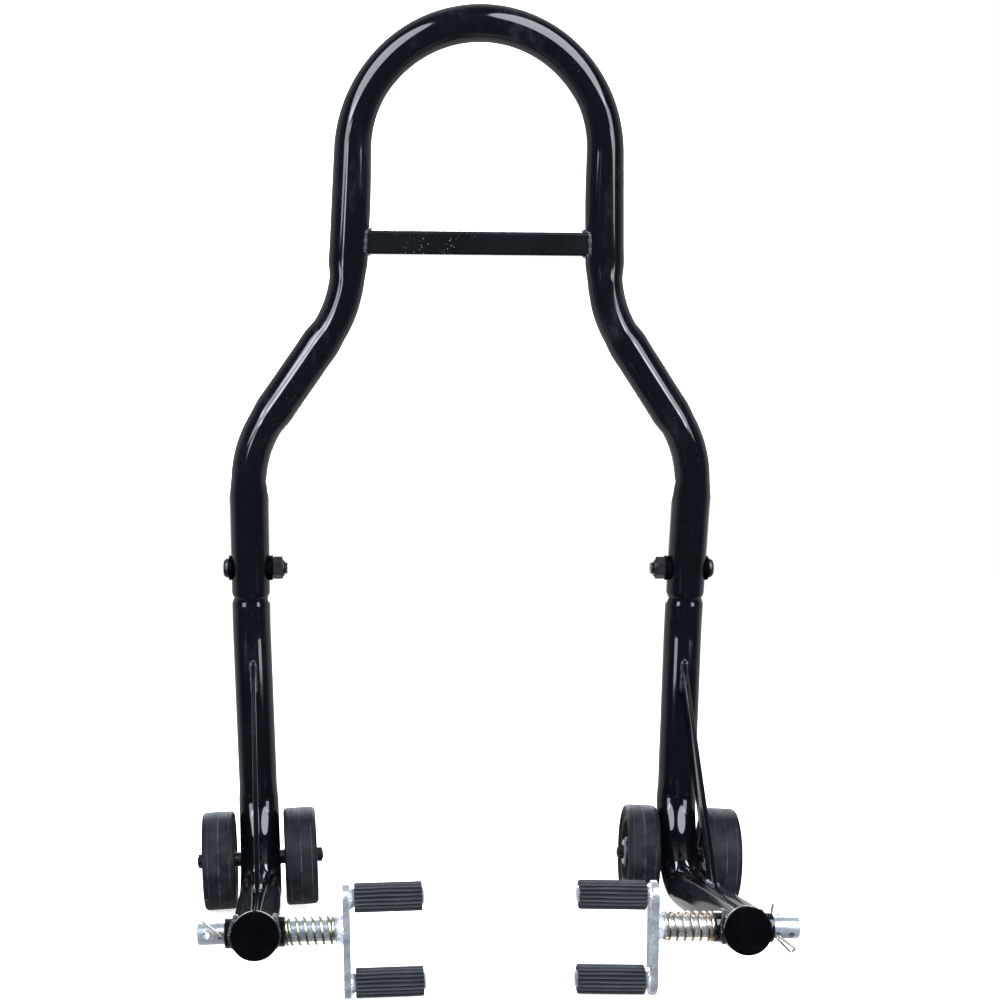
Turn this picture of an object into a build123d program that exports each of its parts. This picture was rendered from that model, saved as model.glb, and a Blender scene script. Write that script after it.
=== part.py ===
from build123d import *

import math
import os

# Front paddock stand, standing on its wheels and the lower ends of its two fork pin plates.
# X runs across the stand, the lift arms reach towards -Y, and Z is up with the floor at 0.
# Places are worked out as (across, forward, height), where forward 0 is the plane of the legs.

# ---- Driving dimensions, millimetres and degrees ----
LEG_PLANE_Y = 154.1          # row Y of forward 0, which centres the whole stand on Y 0

TUBE_R = 17.5                # main tube, 35 mm outside
TUBE_WALL = 2.0
DIE_R = 108.0                # centre-line radius of every bend made on the large die
ELBOW_R = 75.0               # centre-line radius of the bend from leg to lift arm

LEAN_DEG = 17.0              # the handle leans forward from vertical
JOINT_ACROSS = 202.7         # half the distance between the two frame joints
JOINT_CORNER_Z = 258.0       # height of the corner where the lower leg turns vertical
SWAGE_BELOW_END = 28.0       # from that corner up to the handle tube's end
FLARE_FROM = 139.8           # along the handle from its tube end, to the lower knee
KNEE_ACROSS = 114.4          # half width at the upper knee
KNEE_UP = 266.9              # along the handle to the upper knee
TOP_R = 107.8                # centre-line radius of the top of the handle
TOP_UP = 395.5               # along the handle to the centre of that arc
SIDE_TAPER_DEG = 2.9         # the handle's sides close in by this much towards the top

CROSS_BAR_UP = 323.0
CROSS_BAR_SIZE = 20.0
CROSS_BAR_WALL = 1.5
CROSS_BAR_CORNER_R = 2.5

SWAGE_LENGTH = 60.0          # neck of the lower leg inside the handle tube
SWAGE_TAPER = 10.0
SWAGE_GAP = 0.05
JOINT_BOLT_UP = 26.4
JOINT_BOLT_R = 6.0
JOINT_HOLE_R = 6.2
JOINT_HEAD_R = 9.2
JOINT_HEAD_HEIGHT = 5.0
JOINT_WASHER_R = 11.5
JOINT_WASHER_OUT = 2.0
JOINT_WASHER_IN = 3.0
JOINT_NUT_AF = 18.0
JOINT_NUT_HEIGHT = 10.8
JOINT_BOLT_PAST_NUT = 2.5
JOINT_BOLT_POINT = 1.2       # chamfer at the bolt's tip and on its nut
JOINT_HEAD_FILLET = 3.8
JOINT_SOCKET_R = 4.0         # flats of the key socket from the bolt's axis
JOINT_SOCKET_DEPTH = 2.5
JOINT_WASHER_GAP = 0.25

ELBOW_ACROSS = 192.3         # half width at the corner between leg and arm
SLEEVE_FORWARD = 306.0       # forward distance of the fork pin shafts
SLEEVE_ACROSS = 176.9        # half width of the arm axes there
ARM_TIP_FORWARD = 326.0

BRACE_WIDTH = 22.0
BRACE_THICK = 4.0
BRACE_TOP_Z = 222.0          # top toe of the brace on the front of the leg
BRACE_FOOT_FORWARD = 207.0   # front toe of the brace on top of the arm

WHEEL_R = 43.5
WHEEL_WIDTH = 29.0
WHEEL_SHOULDER_R = 4.0
WHEEL_OUT = 36.5             # wheel centre plane from the tube axis
CORE_R = 33.0
CORE_RIM_R = 29.5
CORE_RIM_WIDTH = 25.0
CORE_WEB = 8.0
HUB_R = 13.5
HUB_WIDTH = 26.0
BUSH_R = 7.5
AXLE_R = 5.0
AXLE_END_R = 4.0
AXLE_CLEARANCE = 0.06
AXLE_HOLE_GAP = 0.1
WHEEL_SIDE_PLAY = 0.3
SPACER_R = 6.5
AXLE_WASHER_R = 11.0
AXLE_WASHER = 1.2
AXLE_NUT_AF = 12.0
AXLE_NUT_HEIGHT = 5.0
AXLE_PAST_NUT = 1.0
AXLE_NUT_CHAMFER = 0.7

SHAFT_TILT_DEG = 1.3         # the fork pin shafts rise inwards by this much
SLEEVE_R = 11.0
SLEEVE_HALF = 21.5
SLEEVE_CHAMFER = 0.6
SHAFT_R = 8.0
SHAFT_GAP = 0.05
SHAFT_OUT = 41.0             # shaft end, outboard of the arm axis
PIN_HOLE_R = 2.5
SPLIT_PIN_OUT = 24.2         # hole that holds the split pin
SPARE_HOLE_OUT = 34.5
SPLIT_WIRE_R = 0.9
SPLIT_WIRE_APART = 0.08      # half the gap between the two wires of a split pin
TURNED_EDGE = 0.8            # small chamfer on the ends of turned bars

PLATE_OUT = 63.0             # outboard face of the fork plate, inboard of the arm axis
PLATE_THICK = 5.0
PLATE_WIDTH = 21.2
PLATE_CHAMFER = 0.7
UPPER_PIN_UP = 22.0
LOWER_PIN_DOWN = 39.0
WELD_LENGTH = 4.5
WELD_SPREAD = 2.5            # the weld round the shaft stands out this far at the plate
WELD_LIP = 0.8               # and this far at its outboard end
PIN_R = 6.0
PIN_WELD_LENGTH = 3.3
PIN_WELD_SPREAD = 1.5
PIN_WELD_LIP = 0.4
PIN_LENGTH = 53.8
PIN_CHAMFER = 1.0
RUBBER_R = 10.5
RUBBER_START = 3.5
RUBBER_LENGTH = 49.0
RUBBER_CHAMFER = 0.5

SPRING_R = 10.75
SPRING_WIRE_R = 0.9
SPRING_TURNS = 6.5
SPRING_END_GAP = 0.1
THRUST_WASHER = 1.0
THRUST_WASHER_R = 9.8
THRUST_GAP = 0.2

CAP_R = 16.9
CAP_THICK = 2.0
CAP_PLUG = 7.0
CAP_FILLET = 0.8

SIDES = {"left": -1, "right": 1}

lean = math.radians(LEAN_DEG)
handle_up = (0.0, math.sin(lean), math.cos(lean))


def place(across, forward, height):
    """A point of the row from its distance across, forward of the legs and above the floor."""
    return Vector(across, LEG_PLANE_Y - forward, height)


def handle_place(across, up):
    """A point in the plane of the handle: up is measured along the handle from its tube ends."""
    along = up + SWAGE_BELOW_END
    return place(across, along * handle_up[1], JOINT_CORNER_Z + along * handle_up[2])


def unit(start, end):
    return (end - start).normalized()


def round_solid(frame, start, end, outer_r, inner_r=0.0):
    """A turned bar or ring along the frame's Z, from start to end."""
    section = Circle(outer_r)
    if inner_r:
        section -= Circle(inner_r)
    return extrude(frame.offset(start) * section, amount=end - start)


def cone(frame, start, end, start_r, end_r):
    """A solid cone along the frame's Z."""
    low = frame.offset(start) * Circle(start_r)
    high = frame.offset(end) * Circle(end_r)
    return loft([low, high])


def hex_nut(frame, start, end, across_flats, hole_r, chamfer_size):
    """A hexagon nut with both faces chamfered by a cone."""
    hexagon = RegularPolygon(across_flats / 2, 6, major_radius=False)
    blank = extrude(frame.offset(start) * hexagon, amount=end - start)
    corner_r = across_flats / math.sqrt(3)
    turned = round_solid(frame, start, end, corner_r)
    turned = chamfer(turned.edges().filter_by(GeomType.CIRCLE), chamfer_size)
    return (blank & turned) - round_solid(frame, start, end, hole_r)


def pipe(path, outer_r, inner_r=0.0):
    """A tube of one section swept along a path of straight runs and tangent arcs."""
    start = Plane(origin=path @ 0, z_dir=path % 0)
    outer = sweep(start * Circle(outer_r), path=path)
    if not inner_r:
        return outer
    return outer - sweep(start * Circle(inner_r), path=path)


def save(name, *solids):
    """Write one node: a single solid, or a group of separate solids."""
    shape = solids[0] if len(solids) == 1 else Compound(list(solids))
    shape.label = name
    export_step(shape, f"parts/{name}.step")


# ---- Handle: one bent tube and its cross bar ----
def handle_half(side):
    """One side of the handle's centre line, from the tube end to the start of the top arc."""
    taper = math.radians(SIDE_TAPER_DEG)
    return [
        handle_place(side * JOINT_ACROSS, 0),
        handle_place(side * JOINT_ACROSS, FLARE_FROM),
        handle_place(side * KNEE_ACROSS, KNEE_UP),
        handle_place(side * TOP_R * math.cos(taper), TOP_UP + TOP_R * math.sin(taper)),
    ]


def handle_path():
    right, left = handle_half(1), handle_half(-1)
    apex = handle_place(0, TOP_UP + TOP_R)
    right_side = FilletPolyline(*right, radius=[DIE_R, DIE_R])
    left_side = FilletPolyline(*left, radius=[DIE_R, DIE_R])
    top = ThreePointArc(right[-1], apex, left[-1])
    return Wire(right_side.edges() + top.edges() + left_side.edges())


def joint_frame(side):
    """The frame joint's bolt: Z points outwards along the bolt."""
    origin = handle_place(side * JOINT_ACROSS, JOINT_BOLT_UP)
    return Plane(origin=origin, x_dir=(0, 0, 1), z_dir=(side, 0, 0))


def joint_hole(side):
    reach = 1.2 * TUBE_R
    return round_solid(joint_frame(side), -reach, reach, JOINT_HOLE_R)


def handle_tube():
    tube = pipe(handle_path(), TUBE_R, TUBE_R - TUBE_WALL)
    for side in SIDES.values():
        tube -= joint_hole(side)
    return tube


def cross_bar():
    """Square tube between the handle's sides, its ends coped to the round tube."""
    taper = math.radians(SIDE_TAPER_DEG)
    half_length = KNEE_ACROSS - (CROSS_BAR_UP - KNEE_UP) * math.tan(taper)
    frame = Plane(
        origin=handle_place(-half_length, CROSS_BAR_UP),
        x_dir=(0, -handle_up[1], handle_up[2]),
        z_dir=(1, 0, 0),
    )
    inner = CROSS_BAR_SIZE - 2 * CROSS_BAR_WALL
    section = RectangleRounded(CROSS_BAR_SIZE, CROSS_BAR_SIZE, CROSS_BAR_CORNER_R)
    section -= RectangleRounded(inner, inner, CROSS_BAR_CORNER_R - CROSS_BAR_WALL)
    bar = extrude(frame * section, amount=2 * half_length)
    bar -= pipe(handle_path(), TUBE_R)
    return max(bar.solids(), key=lambda solid: solid.volume)


# ---- Lower legs ----
def axle_height(drop):
    """Height of the axle's middle that puts the outer wheel's shoulder on the floor.

    drop is how far the axle falls in each unit of length towards its outer end.
    """
    shoulder = (WHEEL_OUT + WHEEL_WIDTH / 2 - WHEEL_SHOULDER_R) * drop
    return shoulder + (WHEEL_R - WHEEL_SHOULDER_R) * math.sqrt(1 - drop**2) + WHEEL_SHOULDER_R


def shaft_height():
    """Height of the shaft at the arm axis that rests the lower end of the plate on the floor."""
    tilt = math.radians(SHAFT_TILT_DEG)
    edge_from = PLATE_OUT + PLATE_CHAMFER
    return (LOWER_PIN_DOWN + PLATE_WIDTH / 2) * math.cos(tilt) - edge_from * math.sin(tilt)


def elbow_at(side, height):
    """The elbow for a corner at this height: corner, leg and arm directions, outward normal."""
    corner = place(side * ELBOW_ACROSS, 0, height)
    leg_dir = unit(corner, handle_place(side * JOINT_ACROSS, -SWAGE_BELOW_END))
    arm_dir = unit(corner, sleeve_centre(side))
    normal = arm_dir.cross(leg_dir).normalized()
    return corner, leg_dir, arm_dir, normal * (side if normal.X > 0 else -side)


def middle_of_elbow(corner, leg_dir, arm_dir):
    """The middle of the elbow's arc, on the tube's centre line."""
    half = math.acos(arm_dir.dot(leg_dir)) / 2
    return corner + (arm_dir + leg_dir).normalized() * (ELBOW_R / math.sin(half) - ELBOW_R)


def elbow(side):
    """The elbow whose middle is at the height of the wheel axle, found in a few corrections."""
    height = 0.0
    for _ in range(8):
        corner, leg_dir, arm_dir, normal = elbow_at(side, height)
        height += axle_height(-normal.Z) - middle_of_elbow(corner, leg_dir, arm_dir).Z
    return elbow_at(side, height)


def sleeve_centre(side):
    return place(side * SLEEVE_ACROSS, SLEEVE_FORWARD, shaft_height())


def leg_points(side):
    """Corners of the lower leg's centre line: end of the taper, joint corner, elbow, arm tip."""
    corner = elbow(side)[0]
    return [
        handle_place(side * JOINT_ACROSS, -SWAGE_TAPER),
        handle_place(side * JOINT_ACROSS, -SWAGE_BELOW_END),
        corner,
        corner + (sleeve_centre(side) - corner) * (ARM_TIP_FORWARD / SLEEVE_FORWARD),
    ]


def leg_path(side):
    return FilletPolyline(*leg_points(side), radius=[DIE_R, ELBOW_R])


def axle_frame(side):
    """The wheel axle: origin on the tube's axis, X along the arm, Z pointing outwards."""
    corner, leg_dir, arm_dir, normal = elbow(side)
    return Plane(origin=middle_of_elbow(corner, leg_dir, arm_dir), x_dir=arm_dir, z_dir=normal)


def shaft_frame(side):
    """The fork pin shaft: origin on the arm's axis, Z pointing outwards, X pointing forward."""
    tilt = math.radians(SHAFT_TILT_DEG)
    axis = (side * math.cos(tilt), 0, -math.sin(tilt))
    return Plane(origin=sleeve_centre(side), x_dir=(0, -1, 0), z_dir=axis)


def swage_frame(side):
    up = (0, -handle_up[1], handle_up[2])
    return Plane(origin=handle_place(side * JOINT_ACROSS, 0), x_dir=(1, 0, 0), z_dir=up)


def lower_leg(side):
    neck_r = TUBE_R - TUBE_WALL - SWAGE_GAP
    inner_r = TUBE_R - TUBE_WALL
    frame = swage_frame(side)
    taper = cone(frame, -SWAGE_TAPER, 0, TUBE_R, neck_r)
    taper -= cone(frame, -SWAGE_TAPER, 0, inner_r, neck_r - TUBE_WALL)
    neck = round_solid(frame, 0, SWAGE_LENGTH, neck_r, neck_r - TUBE_WALL)
    leg = pipe(leg_path(side), TUBE_R, inner_r) + taper + neck
    leg -= joint_hole(side)
    leg -= round_solid(shaft_frame(side), -SLEEVE_HALF, SLEEVE_HALF, SLEEVE_R)
    leg -= round_solid(axle_frame(side), -WHEEL_OUT, WHEEL_OUT, AXLE_R + AXLE_HOLE_GAP)
    return leg


def brace(side):
    """Flat bar across the corner of leg and arm, coped to both tubes."""
    corner, leg_dir, arm_dir, normal = elbow(side)
    top = corner + leg_dir * (BRACE_TOP_Z - corner.Z) + arm_dir * TUBE_R
    foot = corner + arm_dir * BRACE_FOOT_FORWARD + leg_dir * TUBE_R
    along = unit(top, foot)
    inward = along.cross(normal).normalized()
    if (corner - top).dot(inward) < 0:
        inward = inward * -1
    reach = 2 * TUBE_R
    outline = Polyline(
        top - along * reach,
        foot + along * reach,
        foot + along * reach + inward * BRACE_WIDTH,
        top - along * reach + inward * BRACE_WIDTH,
        close=True,
    )
    bar = extrude(make_face(outline), BRACE_THICK / 2, dir=normal, both=True)
    bar -= pipe(leg_path(side), TUBE_R)
    return max(bar.solids(), key=lambda solid: solid.volume)


def shaft_sleeve(side):
    bore_r = SHAFT_R + SHAFT_GAP
    sleeve = round_solid(shaft_frame(side), -SLEEVE_HALF, SLEEVE_HALF, SLEEVE_R, bore_r)
    return chamfer(sleeve.edges().filter_by(GeomType.CIRCLE), SLEEVE_CHAMFER)


def arm_cap(side):
    """Plastic plug that closes the arm's tip."""
    frame = Plane(origin=leg_points(side)[3], z_dir=elbow(side)[2])
    flange = round_solid(frame, 0, CAP_THICK, CAP_R)
    rim = flange.edges().group_by(Axis(frame.origin, frame.z_dir))[-1]
    flange = fillet(rim, CAP_FILLET)
    return flange + round_solid(frame, -CAP_PLUG, 0, TUBE_R - TUBE_WALL)


# ---- Frame joint fasteners ----
def frame_bolt(side):
    frame = joint_frame(side)
    seat = TUBE_R + JOINT_WASHER_OUT
    tip = -(TUBE_R + JOINT_WASHER_IN + JOINT_NUT_HEIGHT + JOINT_BOLT_PAST_NUT)
    shank = round_solid(frame, tip, seat, JOINT_BOLT_R)
    outwards = Axis(frame.origin, frame.z_dir)
    shank = chamfer(shank.edges().group_by(outwards)[0], JOINT_BOLT_POINT)
    top = seat + JOINT_HEAD_HEIGHT
    head = round_solid(frame, seat, top, JOINT_HEAD_R)
    head = fillet(head.edges().group_by(outwards)[-1], JOINT_HEAD_FILLET)
    socket = RegularPolygon(JOINT_SOCKET_R, 6, major_radius=False)
    head -= extrude(frame.offset(top - JOINT_SOCKET_DEPTH) * socket, amount=JOINT_HEAD_HEIGHT)
    return shank + head


def frame_washers(side):
    frame = joint_frame(side)
    hole_r = JOINT_BOLT_R + JOINT_WASHER_GAP
    outer = round_solid(frame, TUBE_R, TUBE_R + JOINT_WASHER_OUT, JOINT_WASHER_R, hole_r)
    inner = round_solid(frame, -TUBE_R - JOINT_WASHER_IN, -TUBE_R, JOINT_WASHER_R, hole_r)
    return outer, inner


def frame_nut(side):
    end = -(TUBE_R + JOINT_WASHER_IN)
    start = end - JOINT_NUT_HEIGHT
    frame = joint_frame(side)
    return hex_nut(frame, start, end, JOINT_NUT_AF, JOINT_BOLT_R, JOINT_BOLT_POINT)


# ---- Wheels and axles ----
def hub_out():
    """Distance from the tube axis to the outboard face of a wheel's hub, with its side play."""
    return WHEEL_OUT + HUB_WIDTH / 2 + WHEEL_SIDE_PLAY


def axle(side):
    frame = axle_frame(side)
    shoulder = hub_out() + AXLE_WASHER
    tip = shoulder + AXLE_NUT_HEIGHT + AXLE_PAST_NUT
    bar = round_solid(frame, -shoulder, shoulder, AXLE_R)
    ends = round_solid(frame, -tip, tip, AXLE_END_R)
    ends = chamfer(ends.edges().filter_by(GeomType.CIRCLE), TURNED_EDGE)
    return bar + ends


def both_ends(side, start, end, outer_r, inner_r):
    """Two equal rings, one on each side of the leg tube."""
    frame = axle_frame(side)
    outer = round_solid(frame, start, end, outer_r, inner_r)
    inner = round_solid(frame, -end, -start, outer_r, inner_r)
    return outer, inner


def axle_spacers(side):
    end = WHEEL_OUT - HUB_WIDTH / 2 - WHEEL_SIDE_PLAY
    return both_ends(side, TUBE_R, end, SPACER_R, AXLE_R)


def axle_washers(side):
    return both_ends(side, hub_out(), hub_out() + AXLE_WASHER, AXLE_WASHER_R, AXLE_R)


def axle_nuts(side):
    frame = axle_frame(side)
    start = hub_out() + AXLE_WASHER
    end = start + AXLE_NUT_HEIGHT
    outer = hex_nut(frame, start, end, AXLE_NUT_AF, AXLE_END_R, AXLE_NUT_CHAMFER)
    inner = hex_nut(frame, -end, -start, AXLE_NUT_AF, AXLE_END_R, AXLE_NUT_CHAMFER)
    return outer, inner


def wheel_tyre(frame):
    half = WHEEL_WIDTH / 2
    tread = round_solid(frame, -half, half, WHEEL_R)
    tread = fillet(tread.edges().filter_by(GeomType.CIRCLE), WHEEL_SHOULDER_R)
    return tread - round_solid(frame, -half, half, CORE_R)


def wheel_core(frame):
    rim = round_solid(frame, -CORE_RIM_WIDTH / 2, CORE_RIM_WIDTH / 2, CORE_R, CORE_RIM_R)
    web = round_solid(frame, -CORE_WEB / 2, CORE_WEB / 2, CORE_RIM_R, BUSH_R)
    hub = round_solid(frame, -HUB_WIDTH / 2, HUB_WIDTH / 2, HUB_R, BUSH_R)
    return rim + web + hub


def wheel_bush(frame):
    return round_solid(frame, -HUB_WIDTH / 2, HUB_WIDTH / 2, BUSH_R, AXLE_R + AXLE_CLEARANCE)


# ---- Fork pin adapters ----
def roll_frame(side, out, roll_deg):
    """A frame on the shaft's axis: Z along a cross hole, X outboard along the shaft."""
    frame = shaft_frame(side)
    roll = math.radians(roll_deg)
    hole_dir = frame.x_dir * math.cos(roll) - Vector(0, 0, 1) * math.sin(roll)
    hole_dir = (hole_dir - frame.z_dir * hole_dir.dot(frame.z_dir)).normalized()
    return Plane(origin=frame.origin + frame.z_dir * out, x_dir=frame.z_dir, z_dir=hole_dir)


HOLE_ROLL_DEG = {"left": 0.0, "right": 32.0}


def adapter_shaft(name, side):
    """The shaft that slides and turns in the arm's sleeve, with its two cross holes."""
    frame = shaft_frame(side)
    shaft = round_solid(frame, -PLATE_OUT, SHAFT_OUT, SHAFT_R)
    shaft = chamfer(shaft.edges().group_by(Axis(frame.origin, frame.z_dir))[-1], TURNED_EDGE)
    for out in (SPLIT_PIN_OUT, SPARE_HOLE_OUT):
        cross = roll_frame(side, out, HOLE_ROLL_DEG[name])
        shaft -= round_solid(cross, -2 * SHAFT_R, 2 * SHAFT_R, PIN_HOLE_R)
    return shaft


def plate_frame(side, out):
    """A frame on the shaft's axis at the plate: X level, Y up along the plate, Z inboard."""
    frame = shaft_frame(side)
    inboard = frame.z_dir * -1
    up = inboard.cross(frame.x_dir)
    x_dir = frame.x_dir if up.Z > 0 else frame.x_dir * -1
    return Plane(origin=frame.origin + inboard * out, x_dir=x_dir, z_dir=inboard)


def pin_frames(side):
    """Frames of the upper and the lower pin, on the plate's inboard face."""
    face = plate_frame(side, PLATE_OUT + PLATE_THICK)
    upper = Plane(origin=face.origin + face.y_dir * UPPER_PIN_UP, x_dir=face.x_dir, z_dir=face.z_dir)
    lower = Plane(origin=face.origin - face.y_dir * LOWER_PIN_DOWN, x_dir=face.x_dir, z_dir=face.z_dir)
    return upper, lower


def adapter_plate(side):
    """The plate with the weld round the shaft and the weld at the root of each pin."""
    outer_face = plate_frame(side, PLATE_OUT)
    pin_span = UPPER_PIN_UP + LOWER_PIN_DOWN
    middle = (UPPER_PIN_UP - LOWER_PIN_DOWN) / 2
    slot = Pos(0, middle) * SlotCenterToCenter(pin_span, PLATE_WIDTH, rotation=90)
    plate = extrude(outer_face * slot, amount=PLATE_THICK)
    plate = chamfer(plate.edges().filter_by(GeomType.CIRCLE), PLATE_CHAMFER)
    weld = cone(outer_face, -WELD_LENGTH, 0, SHAFT_R + WELD_LIP, SHAFT_R + WELD_SPREAD)
    plate += weld - round_solid(outer_face, -WELD_LENGTH, 0, SHAFT_R)
    for frame in pin_frames(side):
        root = cone(frame, 0, PIN_WELD_LENGTH, PIN_R + PIN_WELD_SPREAD, PIN_R + PIN_WELD_LIP)
        plate += root - round_solid(frame, 0, PIN_WELD_LENGTH, PIN_R)
    return plate


def adapter_pins(side):
    pins = []
    for frame in pin_frames(side):
        pin = round_solid(frame, 0, PIN_LENGTH, PIN_R)
        tip = pin.edges().group_by(Axis(frame.origin, frame.z_dir))[-1]
        pins.append(chamfer(tip, PIN_CHAMFER))
    return pins


def pin_rubber(frame):
    end = RUBBER_START + RUBBER_LENGTH
    sleeve = round_solid(frame, RUBBER_START, end, RUBBER_R)
    sleeve = chamfer(sleeve.edges().filter_by(GeomType.CIRCLE), RUBBER_CHAMFER)
    return sleeve - round_solid(frame, RUBBER_START, end, PIN_R)


def thrust_face():
    """Distance from the arm axis to the thrust washer's face on the plate's side."""
    return PLATE_OUT - WELD_LENGTH - THRUST_GAP


def spring(side):
    """Round wire coil round the shaft, between the sleeve and the thrust washer."""
    frame = shaft_frame(side)
    start = -SLEEVE_HALF - SPRING_WIRE_R - SPRING_END_GAP
    end = THRUST_WASHER - thrust_face() + SPRING_WIRE_R + SPRING_END_GAP
    height = start - end
    mean_r = SPRING_R - SPRING_WIRE_R
    origin = frame.origin + frame.z_dir * start
    helix = Helix(height / SPRING_TURNS, height, mean_r, center=origin, direction=frame.z_dir * -1)
    section = Plane(origin=helix @ 0, z_dir=helix % 0) * Circle(SPRING_WIRE_R)
    return sweep(section, path=helix, is_frenet=True)


def spring_washer(side):
    start = -thrust_face()
    bore_r = SHAFT_R + SHAFT_GAP
    return round_solid(shaft_frame(side), start, start + THRUST_WASHER, THRUST_WASHER_R, bore_r)


def split_pin(name, side):
    """One wire doubled through the shaft: a long eye at one end and two splayed legs at the other."""
    frame = roll_frame(side, SPLIT_PIN_OUT, HOLE_ROLL_DEG[name])
    beside = SPLIT_WIRE_R + SPLIT_WIRE_APART
    # Corners as (outboard along the shaft, up round the shaft, along the hole towards the front).
    bent = {
        "left": [
            (12.3, 12.0, 12.6),
            (-beside, 0, 10.2),
            (-beside, 0, -9.8),
            (-3.0, 0, -14.0),
            (-2.2, 0, -18.0),
            (2.4, 0, -18.0),
            (3.2, 0, -14.0),
            (beside, 0, -9.8),
            (beside, 0, 9.4),
            (9.4, 5.6, 13.4),
        ],
        "right": [
            (-beside, 12.0, -10.4),
            (-beside, 0, -9.8),
            (-beside, 0, 11.0),
            (10.8, -12.4, 12.9),
            (13.6, -8.6, 12.6),
            (beside, 0, 9.6),
            (beside, 0, -9.8),
            (5.6, 2.6, -10.6),
        ],
    }[name]
    radii = {
        "left": [1.2, 1.5, 1.5, 1.6, 1.6, 1.5, 1.5, 1.2],
        "right": [1.2, 1.2, 1.7, 1.7, 1.2, 1.2],
    }[name]
    points = [frame.from_local_coords(Vector(along, side * up, hole)) for along, up, hole in bent]
    return pipe(FilletPolyline(*points, radius=radii), SPLIT_WIRE_R)


def main():
    os.makedirs("parts", exist_ok=True)
    save("handle_tube", handle_tube())
    save("cross_bar", cross_bar())
    for name, side in SIDES.items():
        save(f"lower_leg_{name}", lower_leg(side))
        save(f"brace_{name}", brace(side))
        save(f"shaft_sleeve_{name}", shaft_sleeve(side))
        save(f"arm_cap_{name}", arm_cap(side))
        save(f"frame_bolt_{name}", frame_bolt(side))
        save(f"frame_washers_{name}", *frame_washers(side))
        save(f"frame_nut_{name}", frame_nut(side))
        save(f"axle_{name}", axle(side))
        save(f"axle_spacers_{name}", *axle_spacers(side))
        save(f"axle_washers_{name}", *axle_washers(side))
        save(f"axle_nuts_{name}", *axle_nuts(side))
        for place_name, out in (("outer", WHEEL_OUT), ("inner", -WHEEL_OUT)):
            frame = axle_frame(side).offset(out)
            save(f"wheel_tyre_{name}_{place_name}", wheel_tyre(frame))
            save(f"wheel_core_{name}_{place_name}", wheel_core(frame))
            save(f"wheel_bush_{name}_{place_name}", wheel_bush(frame))
        save(f"spring_{name}", spring(side))
        save(f"spring_washer_{name}", spring_washer(side))
        save(f"adapter_shaft_{name}", adapter_shaft(name, side))
        save(f"adapter_plate_{name}", adapter_plate(side))
        save(f"adapter_pins_{name}", *adapter_pins(side))
        upper, lower = pin_frames(side)
        save(f"pin_rubber_upper_{name}", pin_rubber(upper))
        save(f"pin_rubber_lower_{name}", pin_rubber(lower))
        save(f"split_pin_{name}", split_pin(name, side))


main()
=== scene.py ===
import random
from math import ceil, cos, degrees, exp, inf, pi, radians, sin, sqrt, tan

import bmesh
import bpy
from mathutils import Matrix, Vector


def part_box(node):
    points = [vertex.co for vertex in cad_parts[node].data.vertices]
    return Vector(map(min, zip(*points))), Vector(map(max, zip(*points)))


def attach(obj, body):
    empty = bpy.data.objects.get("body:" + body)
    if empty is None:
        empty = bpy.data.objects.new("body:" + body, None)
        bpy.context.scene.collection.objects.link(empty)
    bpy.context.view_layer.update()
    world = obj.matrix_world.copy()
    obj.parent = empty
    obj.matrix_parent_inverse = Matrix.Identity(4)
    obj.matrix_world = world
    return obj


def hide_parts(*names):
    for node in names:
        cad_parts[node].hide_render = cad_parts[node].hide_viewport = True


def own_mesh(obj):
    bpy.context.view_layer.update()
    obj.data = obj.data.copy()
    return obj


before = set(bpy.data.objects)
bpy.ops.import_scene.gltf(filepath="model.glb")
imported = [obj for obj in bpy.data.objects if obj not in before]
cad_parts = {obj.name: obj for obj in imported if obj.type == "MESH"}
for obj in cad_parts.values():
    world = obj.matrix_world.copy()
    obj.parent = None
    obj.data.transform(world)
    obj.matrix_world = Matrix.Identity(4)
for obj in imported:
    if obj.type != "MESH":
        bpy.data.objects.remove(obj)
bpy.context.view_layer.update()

# Looks of the front paddock stand. Everything is in metres in the row's frame: X across the
# stand, the lift arms towards -Y, Z up from the floor. Places come from the CAD nodes' boxes and
# from the sizes below.

MM = 0.001
SIDES = {"left": -1, "right": 1}

# ---- Driving sizes repeated from the CAD ----
LEG_PLANE_Y = 154.1 * MM
TUBE_R = 17.5 * MM
TUBE_WALL = 2 * MM
DIE_R = 108 * MM
ELBOW_R = 75 * MM
LEAN = radians(17.0)
JOINT_ACROSS = 202.7 * MM
JOINT_CORNER_Z = 258 * MM
SWAGE_BELOW_END = 28 * MM
FLARE_FROM = 139.8 * MM
KNEE_ACROSS = 114.4 * MM
KNEE_UP = 266.9 * MM
TOP_R = 107.8 * MM
TOP_UP = 395.5 * MM
SIDE_TAPER = radians(2.9)
CROSS_BAR_UP = 323 * MM
CROSS_BAR_SIZE = 20 * MM
NECK_R = 15.45 * MM
NECK_LENGTH = 60 * MM
JOINT_BOLT_R = 6 * MM
JOINT_HEAD_R = 9.2 * MM
JOINT_HEAD_HEIGHT = 5 * MM
JOINT_WASHER_R = 11.5 * MM
JOINT_WASHER_OUT = 2 * MM
JOINT_WASHER_IN = 3 * MM
JOINT_NUT_AF = 18 * MM
JOINT_NUT_HEIGHT = 10.8 * MM
JOINT_BOLT_PAST_NUT = 2.5 * MM
JOINT_PITCH = 1.75 * MM
ELBOW_ACROSS = 192.3 * MM
SLEEVE_FORWARD = 306 * MM
ARM_TIP_FORWARD = 326 * MM
BRACE_WIDTH = 22 * MM
BRACE_THICK = 4 * MM
BRACE_TOP_Z = 222 * MM
BRACE_FOOT_FORWARD = 207 * MM
WHEEL_R = 43.5 * MM
WHEEL_WIDTH = 29 * MM
WHEEL_OUT = 36.5 * MM
CORE_R = 33 * MM
CORE_RIM_R = 29.5 * MM
CORE_RIM_WIDTH = 25 * MM
CORE_WEB = 8 * MM
HUB_R = 13.5 * MM
HUB_WIDTH = 26 * MM
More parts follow.
